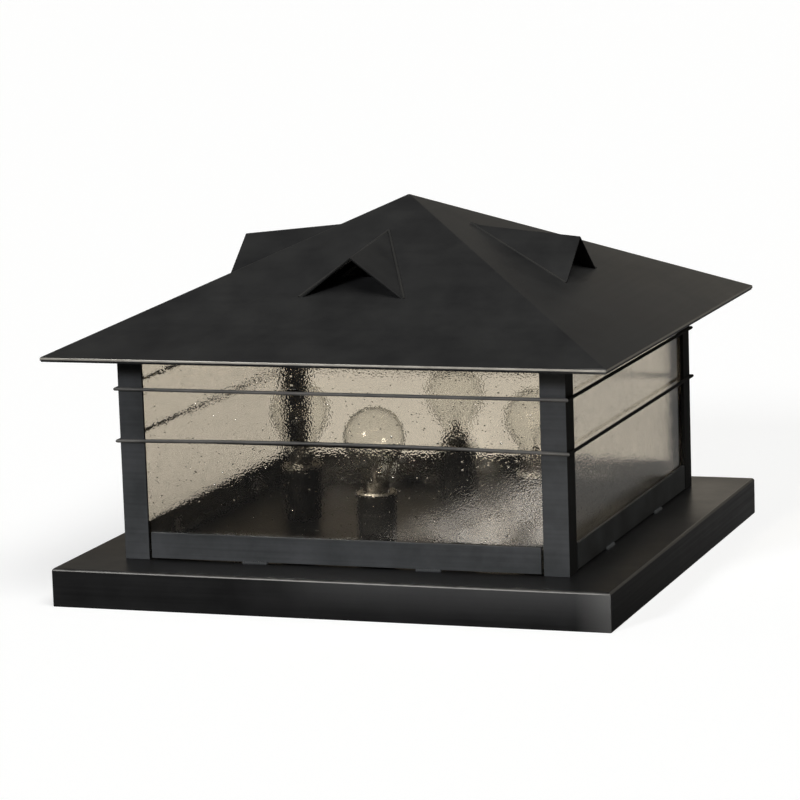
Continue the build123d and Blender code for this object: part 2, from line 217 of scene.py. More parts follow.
def feed(tree, node, inputs):
    """Link or set a node's inputs by name or number. A node stands for its own result."""
    for key, value in inputs.items():
        socket = node.inputs[key]
        if isinstance(value, bpy.types.Node):
            value = next(output for output in value.outputs if output.enabled)
        if isinstance(value, bpy.types.NodeSocket):
            tree.links.new(value, socket)
        else:
            socket.default_value = (*value, 1) if socket.type == "RGBA" else value


def add(tree, kind, inputs=None, **settings):
    """Add a node with its settings and inputs."""
    node = tree.nodes.new(kind)
    for name, value in settings.items():
        setattr(node, name, value)
    feed(tree, node, inputs or {})
    return node


def surface(name, settings):
    """A new material with its shader's plain sockets set, its tree, its shader and its Object coordinates."""
    material = bpy.data.materials.new(name)
    material.use_nodes = True
    tree = material.node_tree
    shader = tree.nodes["Principled BSDF"]
    feed(tree, shader, settings)
    return material, tree, shader, add(tree, "ShaderNodeTexCoord").outputs["Object"]


def mottle(tree, shader, share, tones, grain, roughness):
    """Colour a shader between two tones by one pattern, and roughen it between two levels by another."""
    tone = add(tree, MIX, {0: share, 6: tones[0], 7: tones[1]}, data_type="RGBA")
    rough = add(tree, RANGE, {0: grain, 3: roughness[0], 4: roughness[1]})
    feed(tree, shader, {"Base Color": tone, "Roughness": rough})


def dark_steel(name, deep, pale, gloss, streak=0.1):
    """Sheet or bar steel under a black finish: satin, cloudy, with faint rolling marks and orange peel;
    darkened inside the lantern as painted shade, and paler at the front right corner as a painted reflection.
    """
    material, tree, shader, place = surface(name, {"IOR": 1.22})
    # clouds 55 mm across, where the finish lies thicker and thinner
    clouds = add(tree, NOISE, {"Vector": place, "Scale": 1 / (55 * MM), "Detail": 5, "Roughness": 0.6})
    # rolling marks, 3 mm apart and long, which show through the finish
    drawn = add(tree, MAPPING, {"Vector": place, "Scale": (6, 6, 1 / (3 * MM))})
    marks = add(tree, NOISE, {"Vector": drawn, "Scale": 1, "Detail": 2})
    patch = add(tree, MATH, {0: marks, 1: streak, 2: clouds}, operation="MULTIPLY_ADD")
    middle, spread = 0.5 + 0.5 * streak, 0.17
    patch = add(tree, RANGE, {0: patch, 1: middle - spread, 2: middle + spread})
    tone = add(tree, MIX, {0: patch, 6: deep, 7: pale}, data_type="RGBA")
    # inside the lantern, on the pan's floor, the colour is darkened as painted shade under the roof, and made
    # smoother
    x, y, z = add(tree, TO_XYZ, {0: place}).outputs
    out_x = add(tree, MATH, {0: x}, operation="ABSOLUTE")
    out_y = add(tree, MATH, {0: y}, operation="ABSOLUTE")
    out = add(tree, MATH, {0: out_x, 1: out_y}, operation="MAXIMUM")
    within = add(tree, MATH, {0: out, 1: POST_FACE - 3 * MM}, operation="LESS_THAN")
    low = add(tree, MATH, {0: z, 1: PAN_TOP + MM}, operation="LESS_THAN")
    shaded = add(tree, MATH, {0: within, 1: low}, operation="MULTIPLY")
    tone = add(tree, MIX, {0: shaded, 6: tone, 7: times(deep, 0.8)}, data_type="RGBA")
    # the front right corner is painted paler over 36 mm, a painted reflection of the pale floor in front
    lean = add(tree, MATH, {0: x, 1: y}, operation="SUBTRACT")
    corner_sheen_mask = add(tree, RANGE, {0: lean, 1: 2 * EAVE - 36 * MM, 2: 2 * EAVE, 4: 0.6})
    front = add(tree, MATH, {0: y, 1: 2 * MM - EAVE}, operation="LESS_THAN")
    corner_sheen_mask = add(tree, MATH, {0: corner_sheen_mask, 1: front}, operation="MULTIPLY")
    corner_sheen = bpy.context.scene.pierlight_steel.corner_sheen
    tone = add(tree, MIX, {0: corner_sheen_mask, 6: tone, 7: corner_sheen}, data_type="RGBA")
    satin = gloss - 0.1 - 0.22 * streak
    rough = add(tree, MATH, {0: clouds, 1: 0.2, 2: satin}, operation="MULTIPLY_ADD")
    rough = add(tree, MATH, {0: marks, 1: 0.44 * streak, 2: rough}, operation="MULTIPLY_ADD")
    rough = add(tree, MATH, {0: shaded, 1: -0.07, 2: rough}, operation="MULTIPLY_ADD")
    # orange peel is 0.5 mm in life; drawn at 1.5 mm, so that it shows
    peel = add(tree, NOISE, {"Vector": place, "Scale": 1 / (1.5 * MM), "Detail": 1})
    relief = add(tree, MATH, {0: marks, 1: 0.6, 2: peel}, operation="MULTIPLY_ADD")
    bump = add(tree, "ShaderNodeBump", {"Height": relief, "Strength": 0.15, "Distance": 0.05 * MM})
    feed(tree, shader, {"Base Color": tone, "Roughness": rough, "Normal": bump})
    return material


def bare_steel(name, bright, dark_share, gloss):
    """Mild steel where a finish is rubbed through: a soft grey metal line, with dark remains along it."""
    material, tree, shader, place = surface(name, {"Metallic": 0.85})
    # remains of the finish, 14 mm long
    wear = add(tree, NOISE, {"Vector": place, "Scale": 1 / (14 * MM), "Detail": 3})
    share = add(tree, RANGE, {0: wear, 1: 0.35, 2: 0.65})
    mottle(tree, shader, share, (times(bright, dark_share), bright), wear, (gloss - 0.08, gloss + 0.1))
    return material


def zinc_plate(name, zinc):
    """Bright zinc on pressed steel: a cool grey metal with faint spangle and soft scuffs."""
    material, tree, shader, place = surface(name, {"Metallic": 1})
    # spangle, 5 mm across
    grains = add(tree, "ShaderNodeTexVoronoi", {"Vector": place, "Scale": 1 / (5 * MM)}).outputs["Color"]
    # scuffs, 3 mm across
    scuffs = add(tree, NOISE, {"Vector": place, "Scale": 1 / (3 * MM), "Detail": 4})
    mottle(tree, shader, grains, (times(zinc, 0.72), zinc), scuffs, (0.25, 0.5))
    return material


def phenolic(name, black):
    """Phenolic, compression moulded: black, glossy, with a faint flow of the filler."""
    material, tree, shader, place = surface(name, {"IOR": 1.22})
    # filler marks, 2 mm across
    flow = {"Vector": place, "Scale": 1 / (2 * MM), "Detail": 4, "Distortion": 0.6}
    flow = add(tree, NOISE, flow)
    mottle(tree, shader, flow, (black, times(black, 1.8)), flow, (0.25, 0.4))
    return material


def spun_metal(name, bright, dull_share, rough_low, rough_high):
    """Drawn and spun metal, plated or bare: bright, with fine rings round its axis and patches of tarnish."""
    material, tree, shader, place = surface(name, {"Metallic": 1})
    # spinning rings, 0.6 mm apart in height
    rings = add(tree, MAPPING, {"Vector": place, "Scale": (20, 20, 1 / (0.6 * MM))})
    lines = add(tree, NOISE, {"Vector": rings, "Scale": 1, "Detail": 2})
    # tarnish, 8 mm across
    tarnish = add(tree, NOISE, {"Vector": place, "Scale": 1 / (8 * MM), "Detail": 4})
    share = add(tree, RANGE, {0: tarnish, 1: 0.4, 2: 0.7})
    mottle(tree, shader, share, (bright, times(bright, dull_share)), lines, (rough_low, rough_high))
    return material


def clear_glass(name, tint):
    """Soda-lime glass: smooth and clear. Rays from lamps go straight through it, tinted."""
    settings = {"Base Color": tint, "Transmission Weight": 1, "Roughness": 0, "IOR": 1.5}
    material, tree, shader, place = surface(name, settings)
    clear = add(tree, "ShaderNodeBsdfTransparent", {"Color": [part**0.5 for part in tint]})
    path = add(tree, "ShaderNodeLightPath").outputs
    mix = add(tree, "ShaderNodeMixShader", {0: path["Is Shadow Ray"], 1: shader, 2: clear})
    feed(tree, tree.nodes["Material Output"], {"Surface": mix})
    return material, tree, shader, place


def seeded_glass(name, tint):
    """Soda-lime glass, drawn and left seedy: tea-tinted, its fine ripples break up what is behind it."""
    material, tree, shader, place = clear_glass(name, tint)
    # ripple, 1.7 mm across and smooth, on both faces
    ripple = add(tree, NOISE, {"Vector": place, "Scale": 1 / (1.7 * MM), "Detail": 0})
    # burst seeds, pits up to 2.6 mm across and about 11 mm apart, which catch the light
    apart, radius = 11, 1.3
    pits = add(tree, "ShaderNodeTexVoronoi", {"Vector": place, "Scale": 1 / (apart * MM)})
    pits = add(tree, RANGE, {0: pits, 2: radius / apart, 4: 4.5}, interpolation_type="SMOOTHSTEP")
    relief = add(tree, MATH, {0: ripple, 1: pits}, operation="ADD")
    bump = add(tree, "ShaderNodeBump", {"Height": relief, "Strength": 1, "Distance": 0.06 * MM})
    feed(tree, shader, {"Normal": bump})
    return material


def blown_glass(name, tint):
    """Soda-lime glass, blown thin: clear, with a faint wave in its wall that bends the highlights."""
    material, tree, shader, place = clear_glass(name, tint)
    # the wall's thickness wanders over 15 mm
    wave = add(tree, NOISE, {"Vector": place, "Scale": 1 / (15 * MM)})
    bump = add(tree, "ShaderNodeBump", {"Height": wave, "Strength": 0.04, "Distance": 0.1 * MM})
    feed(tree, shader, {"Normal": bump})
    return material


def looked_at(tree, mirrored):
    """One for what the camera sees, straight or through glass, a small share of it in reflections."""
    path = add(tree, "ShaderNodeLightPath").outputs
    seen = {0: path["Is Camera Ray"], 1: path["Is Transmission Ray"]}
    seen = add(tree, MATH, seen, operation="MAXIMUM")
    bounced = add(tree, MATH, {0: path["Glossy Depth"], 1: path["Diffuse Depth"]}, operation="ADD")
    straight = add(tree, MATH, {0: bounced, 1: 0.5}, operation="LESS_THAN")
    seen = add(tree, MATH, {0: seen, 1: straight}, operation="MULTIPLY")
    share = {0: path["Is Glossy Ray"], 1: mirrored, 2: seen}
    return add(tree, MATH, share, operation="MULTIPLY_ADD")


FINISHES = {}


def finish_of(name):
    """The finish of that name, made once from the panel's colours."""
    if name in FINISHES:
        return FINISHES[name]
    scene = bpy.context.scene
    steel, lamps = scene.pierlight_steel, scene.pierlight_lamps
    coat, coat_thin = steel.coat, steel.coat_thin
    kinds = {
        "coat": (dark_steel, "Powder coat on folded steel, satin black", coat, coat_thin, 0.38, 0.5),
        "roof": (dark_steel, "Powder coat on roof sheet, matt black", steel.roof, steel.roof_thin, 0.5, 0.15),
        "frame": (dark_steel, "Bar steel, blackened and waxed", steel.bar, steel.bar_pale, 0.52, 0.3),
        # painted shade: the side rails' outer faces, darker than the front and back bars
        "painted_side_shade": (dark_steel, "Bar steel, blackened", coat_thin, steel.bar, 0.55),
        "rod": (dark_steel, "Round bar, drawn and waxed", steel.rod, steel.rod_pale, 0.34),
        # painted shade finish, for inward and side faces, the side rods and the gablets' mouth edges
        "painted_shade": (dark_steel, "Bar steel, blackened and left dry", steel.painted_shade, coat, 0.8),
        # the seam's paler tone is a painted highlight
        "solder": (dark_steel, "Solder seam under matt black", steel.roof_thin, steel.solder, 0.5),
        "rubbed": (bare_steel, "Mild steel, sheared edge", steel.rubbed, 0.86, 0.4),
        "burnished": (bare_steel, "Mild steel, burnished fold", steel.burnished, 0.6, 0.42),
        "zinc": (zinc_plate, "Zinc plate on pressed steel", steel.zinc),
        "pane": (seeded_glass, "Soda-lime glass, seeded", scene.pierlight_glass.tint),
        "phenolic": (phenolic, "Phenolic, moulded", lamps.phenolic),
        "nickel": (spun_metal, "Nickel plate on drawn brass", lamps.nickel, 0.75, 0.3, 0.48),
        "brass": (spun_metal, "Brass, drawn and tinned", lamps.brass, 0.5, 0.2, 0.42),
        "bulb": (blown_glass, "Soda-lime glass, blown", lamps.bulb),
        "tungsten": (spun_metal, "Tungsten wire, drawn", lamps.tungsten, 0.6, 0.3, 0.5),
    }
    maker, *details = kinds[name]
    FINISHES[name] = maker(*details)
    return FINISHES[name]


def piece(name, shape, body, replaced, finishes, smooth=math.radians(35)):
    """A finished piece at the origin from a bmesh or a mesh, riding on a body in place of CAD nodes."""
    if isinstance(shape, bmesh.types.BMesh):
        mesh = bpy.data.meshes.new(name)
        shape.to_mesh(mesh)
        shape.free()
    else:
        mesh = shape
        mesh.name = name
    mesh.shade_smooth()
    mesh.set_sharp_from_angle(angle=smooth)
    mesh.materials.clear()
    for finish in finishes:
        mesh.materials.append(finish_of(finish))
    made = bpy.data.objects.new(name, mesh)
    bpy.context.scene.collection.objects.link(made)
    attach(made, body)
    if replaced:
        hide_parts(*replaced)
    return made


def cad_shape(*nodes, drop=None):
    """The joined shape of CAD nodes, its flats made whole. drop(normal) leaves faces out."""
    shape = bmesh.new()
    for node in nodes:
        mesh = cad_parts[node].data
        verts = [shape.verts.new(v.co) for v in mesh.vertices]
        for polygon in mesh.polygons:
            if drop is None or not drop(polygon.normal):
                shape.faces.new([verts[i] for i in polygon.vertices])
    bmesh.ops.remove_doubles(shape, verts=shape.verts, dist=2e-6)
    loose = [v for v in shape.verts if not v.link_faces]
    bmesh.ops.delete(shape, geom=loose, context="VERTS")
    flat = math.radians(0.4)
    bmesh.ops.dissolve_limit(shape, angle_limit=flat, verts=shape.verts, edges=shape.edges)
    return shape


def dressed(name, node, body, slot, *finishes):
    """A CAD node with new finishes."""
    return piece(name, cad_shape(node), body, [node], finishes)


def ease_edges(made, width):
    """Round off the sharp edges."""
    bevel = made.modifiers.new("Eased edges", "BEVEL")
    bevel.width = width
    bevel.segments = 2
    bevel.limit_method = "ANGLE"
    bevel.angle_limit = math.radians(40)
    bevel.harden_normals = True
    bevel.use_clamp_overlap = False


def burnish_folds(shape, width):
    """Round off the folds between faces that turn up, and give them the third finish."""
    shape.normal_update()
    upper = [e for e in shape.edges if all(f.normal.z > 0.3 for f in e.link_faces)]
    folds = [e for e in upper if e.calc_face_angle(0) > 0.2]
    bmesh.ops.bevel(shape, geom=folds, offset=width, segments=2, profile=0.5, affect="EDGES", material=2)
    return shape


def second_finish(made, where):
    """Give the second finish to the faces that a rule picks."""
    for polygon in made.data.polygons:
        if where(polygon):
            polygon.material_index = 1


def outward(polygon):
    """How far out a face lies and turns from the lantern's centre line; less than nought turns in."""
    return polygon.center.xy.dot(polygon.normal.xy)


def inside(polygon):
    """Whether a face of the frame turns in to the glass and lamps."""
    return outward(polygon) < -50 * MM


def moved(shape, matrix):
    """A shape put in its place."""
    bmesh.ops.transform(shape, matrix=matrix, verts=shape.verts)
    return shape


def turned(profile, steps=64, radius_at=None):
    """A closed section of (radius, height) in mm turned about Z.

    radius_at(angle, *point) shapes the ring of a point that has a third number.
    """
    shape = bmesh.new()
    rings = []
    for point in profile:
        radius, height = point[:2]
        if radius < 1e-4:
            rings.append([shape.verts.new((0, 0, height * MM))])
            continue
        ring = []
        for i in range(steps):
            a = 2 * math.pi * i / steps
            r = MM * (radius_at(a, *point) if len(point) > 2 else radius)
            ring.append(shape.verts.new((r * math.cos(a), r * math.sin(a), height * MM)))
        rings.append(ring)
    made = []
    for low, high in zip(rings, rings[1:] + rings[:1]):
        for i in range(steps):
            j = (i + 1) % steps
            corners = [low[i % len(low)], low[j % len(low)], high[j % len(high)], high[i % len(high)]]
            corners = list(dict.fromkeys(corners))
            if len(corners) > 2:
                made.append(shape.faces.new(corners))
    bmesh.ops.recalc_face_normals(shape, faces=made)
    return shape


def rolled_thread(pitch, depth):
    """A rule for turned: a rolled thread, whose third number is the share of its depth at that height."""

    def radius_at(angle, radius, height, share):
        return radius - share * depth * (0.5 - 0.5 * math.cos(2 * math.pi * height / pitch - angle))

    return radius_at


def hexagon(angle, radius, height, flat):
    """A rule for turned: a hexagon of that half width, its corners cut back to the radius."""
    corner = (angle + math.pi / 6) % (math.pi / 3) - math.pi / 6
    return min(radius, flat / math.cos(corner))


def threaded_wall(radius, low, high, run_out, step):
    """Points of a threaded wall from low to high, the thread dying away at both ends."""
    count = max(2, round(abs(high - low) / step))
    heights = [low + (high - low) * i / count for i in range(count + 1)]
    nearest = [min(abs(h - low), abs(high - h)) / run_out for h in heights]
    return [(radius, h, min(1, near)) for h, near in zip(heights, nearest)]


def rounded(section, ease, steps=3):
    """A closed section with its corners rounded; points on the axis stay as they are."""
    points = []
    for i, corner in enumerate(section):
        here = Vector(corner)
        before = Vector(section[i - 1]) - here
        after = Vector(section[(i + 1) % len(section)]) - here
        if here.x < 1e-4:
            points.append(tuple(here))
            continue
        start = here + before.normalized() * min(ease, 0.45 * before.length)
        end = here + after.normalized() * min(ease, 0.45 * after.length)
        for k in range(steps + 1):
            t = k / steps
            points.append(tuple(start.lerp(here, t).lerp(here.lerp(end, t), t)))
    return points


def arc(centre, radius, start, end, steps):
    """Points (radius, height) on an arc, angles in degrees."""
    angles = [math.radians(start + (end - start) * i / steps) for i in range(steps + 1)]
    return [(centre[0] + radius * math.cos(a), centre[1] + radius * math.sin(a)) for a in angles]


def tube(shape, path, radius, sides=8):
    """A round wire along a path, closed at both ends."""
    rings = []
    side = (path[1] - path[0]).normalized().orthogonal().normalized()
    for i, point in enumerate(path):
        ahead = (path[min(i + 1, len(path) - 1)] - path[max(i - 1, 0)]).normalized()
        side = (side - ahead * side.dot(ahead)).normalized()
        up = ahead.cross(side)
        ring = []
        for k in range(sides):
            a = 2 * math.pi * k / sides
            ring.append(shape.verts.new(point + radius * (side * math.cos(a) + up * math.sin(a))))
        rings.append(ring)
    for low, high in zip(rings, rings[1:]):
        for k in range(sides):
            j = (k + 1) % sides
            shape.faces.new((low[k], low[j], high[j], high[k]))
    shape.faces.new(list(reversed(rings[0])))
    shape.faces.new(rings[-1])


def bent_strip(shape, section, width):
    """A bent strip: a closed section (out, up) in mm at the front, drawn along X."""
    ends = []
    for x in (-width / 2, width / 2):
        ends.append([shape.verts.new((x * MM, -out * MM, up * MM)) for out, up in section])
    made = [shape.faces.new(list(reversed(ends[0]))), shape.faces.new(ends[1])]
    for i in range(len(section)):
        j = (i + 1) % len(section)
        made.append(shape.faces.new((ends[0][i], ends[0][j], ends[1][j], ends[1][i])))
    bmesh.ops.recalc_face_normals(shape, faces=made)


def bow(shape, rise):
    """Bow a straight bar of the front side upwards between its fixed ends."""
    half = POST_FACE
    long_edges = [e for e in shape.edges if e.calc_length() > half]
    bmesh.ops.subdivide_edges(shape, edges=long_edges, cuts=23)
    for vert in shape.verts:
        vert.co.z += rise * max(0, 1 - (vert.co.x / half) ** 2)


def quarter(turn):
    """A quarter turn, or several, about the lantern's centre line."""
    return Matrix.Rotation(math.pi / 2 * turn, 4, "Z")


def at_lamp(turn):
    """From the centre line to a lamp's own axis."""
    return quarter(turn) @ Matrix.Translation((0, -LAMP_OUT, 0))


def new_tree(name, **sockets):
    """A new Geometry Nodes tree with a geometry in and out, and named inputs given as (kind, default)."""
    tree = bpy.data.node_groups.new(name, "GeometryNodeTree")
    tree.interface.new_socket("Geometry", in_out="INPUT", socket_type="NodeSocketGeometry")
    for title, (kind, default) in sockets.items():
        title = title.replace("_", " ")
        socket = tree.interface.new_socket(title, in_out="INPUT", socket_type=f"NodeSocket{kind}")
        if default is not None:
            socket.default_value = default
    tree.interface.new_socket("Geometry", in_out="OUTPUT", socket_type="NodeSocketGeometry")
    return tree, add(tree, "NodeGroupInput").outputs


def close_tree(tree, geometry, material):
    """End a tree with plain geometry and its material."""
    real = add(tree, "GeometryNodeRealizeInstances", {0: geometry})
    finished = add(tree, "GeometryNodeSetMaterial", {"Geometry": real, "Material": material})
    add(tree, "NodeGroupOutput", {0: finished})
    return tree


def grown(shape, *steps):
    """The plain mesh that Geometry Nodes make from a shape. Each step is a tree and its inputs by name."""
    mesh = bpy.data.meshes.new("seed")
    if shape is not None:
        shape.to_mesh(mesh)
        shape.free()
    carrier = bpy.data.objects.new("seed", mesh)
    bpy.context.scene.collection.objects.link(carrier)
    for tree, values in steps:
        modifier = carrier.modifiers.new(tree.name, "NODES")
        modifier.node_group = tree
        for item in tree.interface.items_tree:
            if item.in_out == "INPUT" and item.name in values:
                modifier[item.identifier] = values[item.name]
    depsgraph = bpy.context.evaluated_depsgraph_get()
    depsgraph.update()
    made = bpy.data.meshes.new_from_object(carrier.evaluated_get(depsgraph))
    carrier.modifiers.clear()
    bpy.data.objects.remove(carrier)
    bpy.data.meshes.remove(mesh)
    return made


def four_sides_tree():
    """Repeat a piece of the front side: a row along the side, then all four sides."""
    name = "Four sides"
    if name in bpy.data.node_groups:
        return bpy.data.node_groups[name]
    tree, given = new_tree(
        name, In_a_row=("Int", 1), Spacing=("Float", 0.1), Sides=("Int", 4), Material=("Material", None)
    )
    gaps = add(tree, MATH, {0: given["In a row"], 1: 1}, operation="SUBTRACT")
    span = add(tree, MATH, {0: gaps, 1: given["Spacing"]}, operation="MULTIPLY")
    start = add(tree, MATH, {0: span, 1: -0.5}, operation="MULTIPLY")
    first = add(tree, FROM_XYZ, {0: start})
    step = add(tree, FROM_XYZ, {0: given["Spacing"]})
    line = {"Count": given["In a row"], "Start Location": first, "Offset": step}
    row = add(tree, "GeometryNodeMeshLine", line)
    side = add(tree, ON_POINTS, {"Points": row, "Instance": given["Geometry"]})
    side = add(tree, "GeometryNodeRealizeInstances", {0: side})
    centre = add(tree, "GeometryNodePoints", {"Count": given["Sides"]})
    index = add(tree, "GeometryNodeInputIndex")
    turn = add(tree, MATH, {0: index, 1: math.pi / 2}, operation="MULTIPLY")
    turn = add(tree, FROM_XYZ, {2: turn})
    ring = add(tree, ON_POINTS, {"Points": centre, "Instance": side, "Rotation": turn})
    return close_tree(tree, ring, given["Material"])


def weld_tree():
    """A fillet bead in a corner: a line of overlapping ripples, each a little askew."""
    tree, given = new_tree(
        "Weld bead",
        Length=("Float", 0.026),
        Ripple=("Float", 0.002),
        Leg=("Float", 0.0035),
        Out=("Float", 0.2),
        Up=("Float", 0.04),
        Draw=("Int", 3),
        Material=("Material", None),
    )
    count = add(tree, MATH, {0: given["Length"], 1: given["Ripple"]}, operation="DIVIDE")
    half = add(tree, MATH, {0: given["Length"], 1: -0.5}, operation="MULTIPLY")
    out = add(tree, MATH, {0: given["Out"], 1: -1}, operation="MULTIPLY")
    first = add(tree, FROM_XYZ, {0: half, 1: out, 2: given["Up"]})
    step = add(tree, FROM_XYZ, {0: given["Ripple"]})
    line = add(tree, "GeometryNodeMeshLine", {"Count": count, "Start Location": first, "Offset": step})
    drop = add(tree, "GeometryNodeMeshIcoSphere", {"Radius": 1, "Subdivisions": 3})
    wander = add(tree, RANDOM, {2: 0.92, 3: 1.06, "Seed": given["Draw"]}, data_type="FLOAT")
    wide = add(tree, MATH, {0: given["Ripple"], 1: 0.95}, operation="MULTIPLY")
    high = add(tree, MATH, {0: given["Leg"], 1: wander}, operation="MULTIPLY")
    scale = add(tree, FROM_XYZ, {0: wide, 1: high, 2: high})
    askew = Vector((0.05, 0.05, 0.15))
    tilt = add(tree, RANDOM, {0: -askew, 1: askew, "Seed": given["Draw"]}, data_type="FLOAT_VECTOR")
    ripples = {"Points": line, "Instance": drop, "Scale": scale, "Rotation": tilt}
    return close_tree(tree, add(tree, ON_POINTS, ripples), given["Material"])


def pane_tree():
    """A seeded pane lying flat: waves on both faces, and bubbles as voids in its thickness."""
    tree, given = new_tree(
        "Seeded pane",
        Size=("Vector", (0.4, 0.2, 0.003)),
        Wave_height=("Float", 0.0003),
        Wave_length=("Float", 0.014),
        Mesh=("Float", 0.0025),
        Seeds=("Int", 1000),
        Smallest=("Float", 0.0003),
        Largest=("Float", 0.0012),
        Draw=("Int", 1),
        Material=("Material", None),
    )
    wide, tall, thick = add(tree, TO_XYZ, {0: given["Size"]}).outputs
    across = add(tree, MATH, {0: wide, 1: given["Mesh"]}, operation="DIVIDE")
    up = add(tree, MATH, {0: tall, 1: given["Mesh"]}, operation="DIVIDE")
    sheet = {"Size": given["Size"], "Vertices X": across, "Vertices Y": up, "Vertices Z": 2}
    sheet = add(tree, "GeometryNodeMeshCube", sheet)
    # each face and pane reads its own part of the pattern; the waves are twice as long across as up
    place = add(tree, "GeometryNodeInputPosition")
    spread = add(tree, VECTOR_MATH, {0: place, 1: (0.5, 1, 100)}, operation="MULTIPLY")
    per_metre = add(tree, MATH, {0: 1, 1: given["Wave length"]}, operation="DIVIDE")
    offset = add(tree, MATH, {0: given["Draw"], 1: 3.7}, operation="MULTIPLY")
    waves = {"Vector": spread, "W": offset, "Scale": per_metre, "Detail": 2, "Roughness": 0.45}
    waves = add(tree, NOISE, waves, noise_dimensions="4D")
    lift = add(tree, MATH, {0: waves, 1: 0.5}, operation="SUBTRACT")
    lift = add(tree, MATH, {0: lift, 1: given["Wave height"]}, operation="MULTIPLY")
    lift = add(tree, FROM_XYZ, {2: lift})
    sheet = add(tree, "GeometryNodeSetPosition", {"Geometry": sheet, "Offset": lift})
    # bubbles: mostly small, drawn out along the pane, flattened to stay inside it
    room = add(tree, VECTOR_MATH, {0: given["Size"], 1: (0.49, 0.49, 0.1)}, operation="MULTIPLY")
    back = add(tree, VECTOR_MATH, {0: room, 1: (-1, -1, -1)}, operation="MULTIPLY")
    spot = add(tree, RANDOM, {0: back, 1: room, "Seed": given["Draw"]}, data_type="FLOAT_VECTOR")
    points = add(tree, "GeometryNodePoints", {"Count": given["Seeds"], "Position": spot})
    chance = add(tree, RANDOM, {2: 0, 3: 1, "Seed": offset}, data_type="FLOAT")
    few = add(tree, MATH, {0: chance, 1: 3}, operation="POWER")
    radius = add(tree, RANGE, {0: few, 3: given["Smallest"], 4: given["Largest"]})
    drawn = add(tree, RANDOM, {2: 1, 3: 1.9, "Seed": given["Draw"]}, data_type="FLOAT")
    long = add(tree, MATH, {0: radius, 1: drawn}, operation="MULTIPLY")
    flat = add(tree, MATH, {0: thick, 1: 0.27}, operation="MULTIPLY")
    flat = add(tree, MATH, {0: radius, 1: flat}, operation="MINIMUM")
    scale = add(tree, FROM_XYZ, {0: long, 1: radius, 2: flat})
    drop = add(tree, "GeometryNodeMeshIcoSphere", {"Radius": 1, "Subdivisions": 1})
    bubbles = add(tree, ON_POINTS, {"Points": points, "Instance": drop, "Scale": scale})
    bubbles = add(tree, "GeometryNodeRealizeInstances", {0: bubbles})
    voids = add(tree, "GeometryNodeFlipFaces", {0: bubbles})
    whole = add(tree, "GeometryNodeJoinGeometry", {0: sheet})
    feed(tree, whole, {0: voids})
    return close_tree(tree, whole, given["Material"])


def on_four_sides(shape, finish, in_a_row=1, spacing=0.0):
    """A front piece repeated on all four sides, as one mesh."""
    values = {"In a row": in_a_row, "Spacing": spacing, "Sides": 4, "Material": finish_of(finish)}
    return grown(shape, (four_sides_tree(), values))


class PIERLIGHT_OT_base(bpy.types.Operator):
    """Folded pan and its mounting straps"""

    bl_idname = "pierlight.base"
    bl_label = "Base pan and straps"

    def execute(self, context):
        steel = context.scene.pierlight_steel
        pan = dressed("pan", "base_pan", "lantern", "painted_steel", "coat", "burnished")
        second_finish(pan, lambda face: 0.2 < face.normal.z < 0.985)
        ease_edges(pan, 1.6 * steel.ease)
        for side in ("left", "right"):
            node = f"mounting_strap_{side}"
            strap = dressed(f"strap_{side}", node, "lantern", "plated_steel", "zinc")
            ease_edges(strap, steel.ease)
        return {"FINISHED"}


class PIERLIGHT_OT_frame(bpy.types.Operator):
    """Posts, rails and rods"""

    bl_idname = "pierlight.frame"
    bl_label = "Posts, rails and rods"

    def execute(self, context):
        steel = context.scene.pierlight_steel
        for corner in CORNERS:
            node = f"corner_post_{corner}"
            post = dressed(f"post_{corner}", node, "lantern", "painted_steel", "frame", "painted_shade")
            # the post faces that turn inwards or to the sides take painted shade
            second_finish(post, lambda face: inside(face) or abs(face.normal.x) > 0.9)
            ease_edges(post, steel.ease)
        for side in SIDES:
            waxed = side in ("front", "back")
            for level in ("bottom", "top"):
                node = f"{level}_rail_{side}"
                # the left and right rails' outer faces take a darker finish, as painted shade
                outer = "frame" if waxed else "painted_side_shade"
                rail = dressed(f"rail_{level}_{side}", node, "lantern", "painted_steel", outer, "painted_shade")
                # the rail faces that turn inwards take painted shade
                second_finish(rail, inside)
                ease_edges(rail, 0.5 * steel.ease)
            for level in ("upper", "lower"):
                node = f"{level}_rod_{side}"
                shape = cad_shape(node)
                if node == "lower_rod_front":
                    bow(shape, steel.bow)
                # the left and right rods take painted shade in full
                finish = "rod" if waxed else "painted_shade"
                piece(f"rod_{level}_{side}", shape, "lantern", [node], [finish])
        return {"FINISHED"}


class PIERLIGHT_OT_welds(bpy.types.Operator):
    """Stitch welds under the bottom rails"""

    bl_idname = "pierlight.welds"
    bl_label = "Stitch welds"

    def execute(self, context):
        low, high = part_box("stitch_welds")
        leg = (high.z - low.z) * 0.45
        bead = {
            "Length": 26 * MM,
            "Ripple": context.scene.pierlight_steel.ripple,
            "Leg": leg,
            "Out": POST_FACE,
            "Up": PAN_TOP + 0.35 * leg,
            "Draw": 3,
            "Material": finish_of("frame"),
        }
        ring = {"In a row": 2, "Spacing": 176 * MM, "Sides": 4, "Material": finish_of("frame")}
        mesh = grown(None, (weld_tree(), bead), (four_sides_tree(), ring))
        smooth = math.radians(60)
        piece("weld_beads", mesh, "lantern", ["stitch_welds"], ["frame"], smooth)
        return {"FINISHED"}


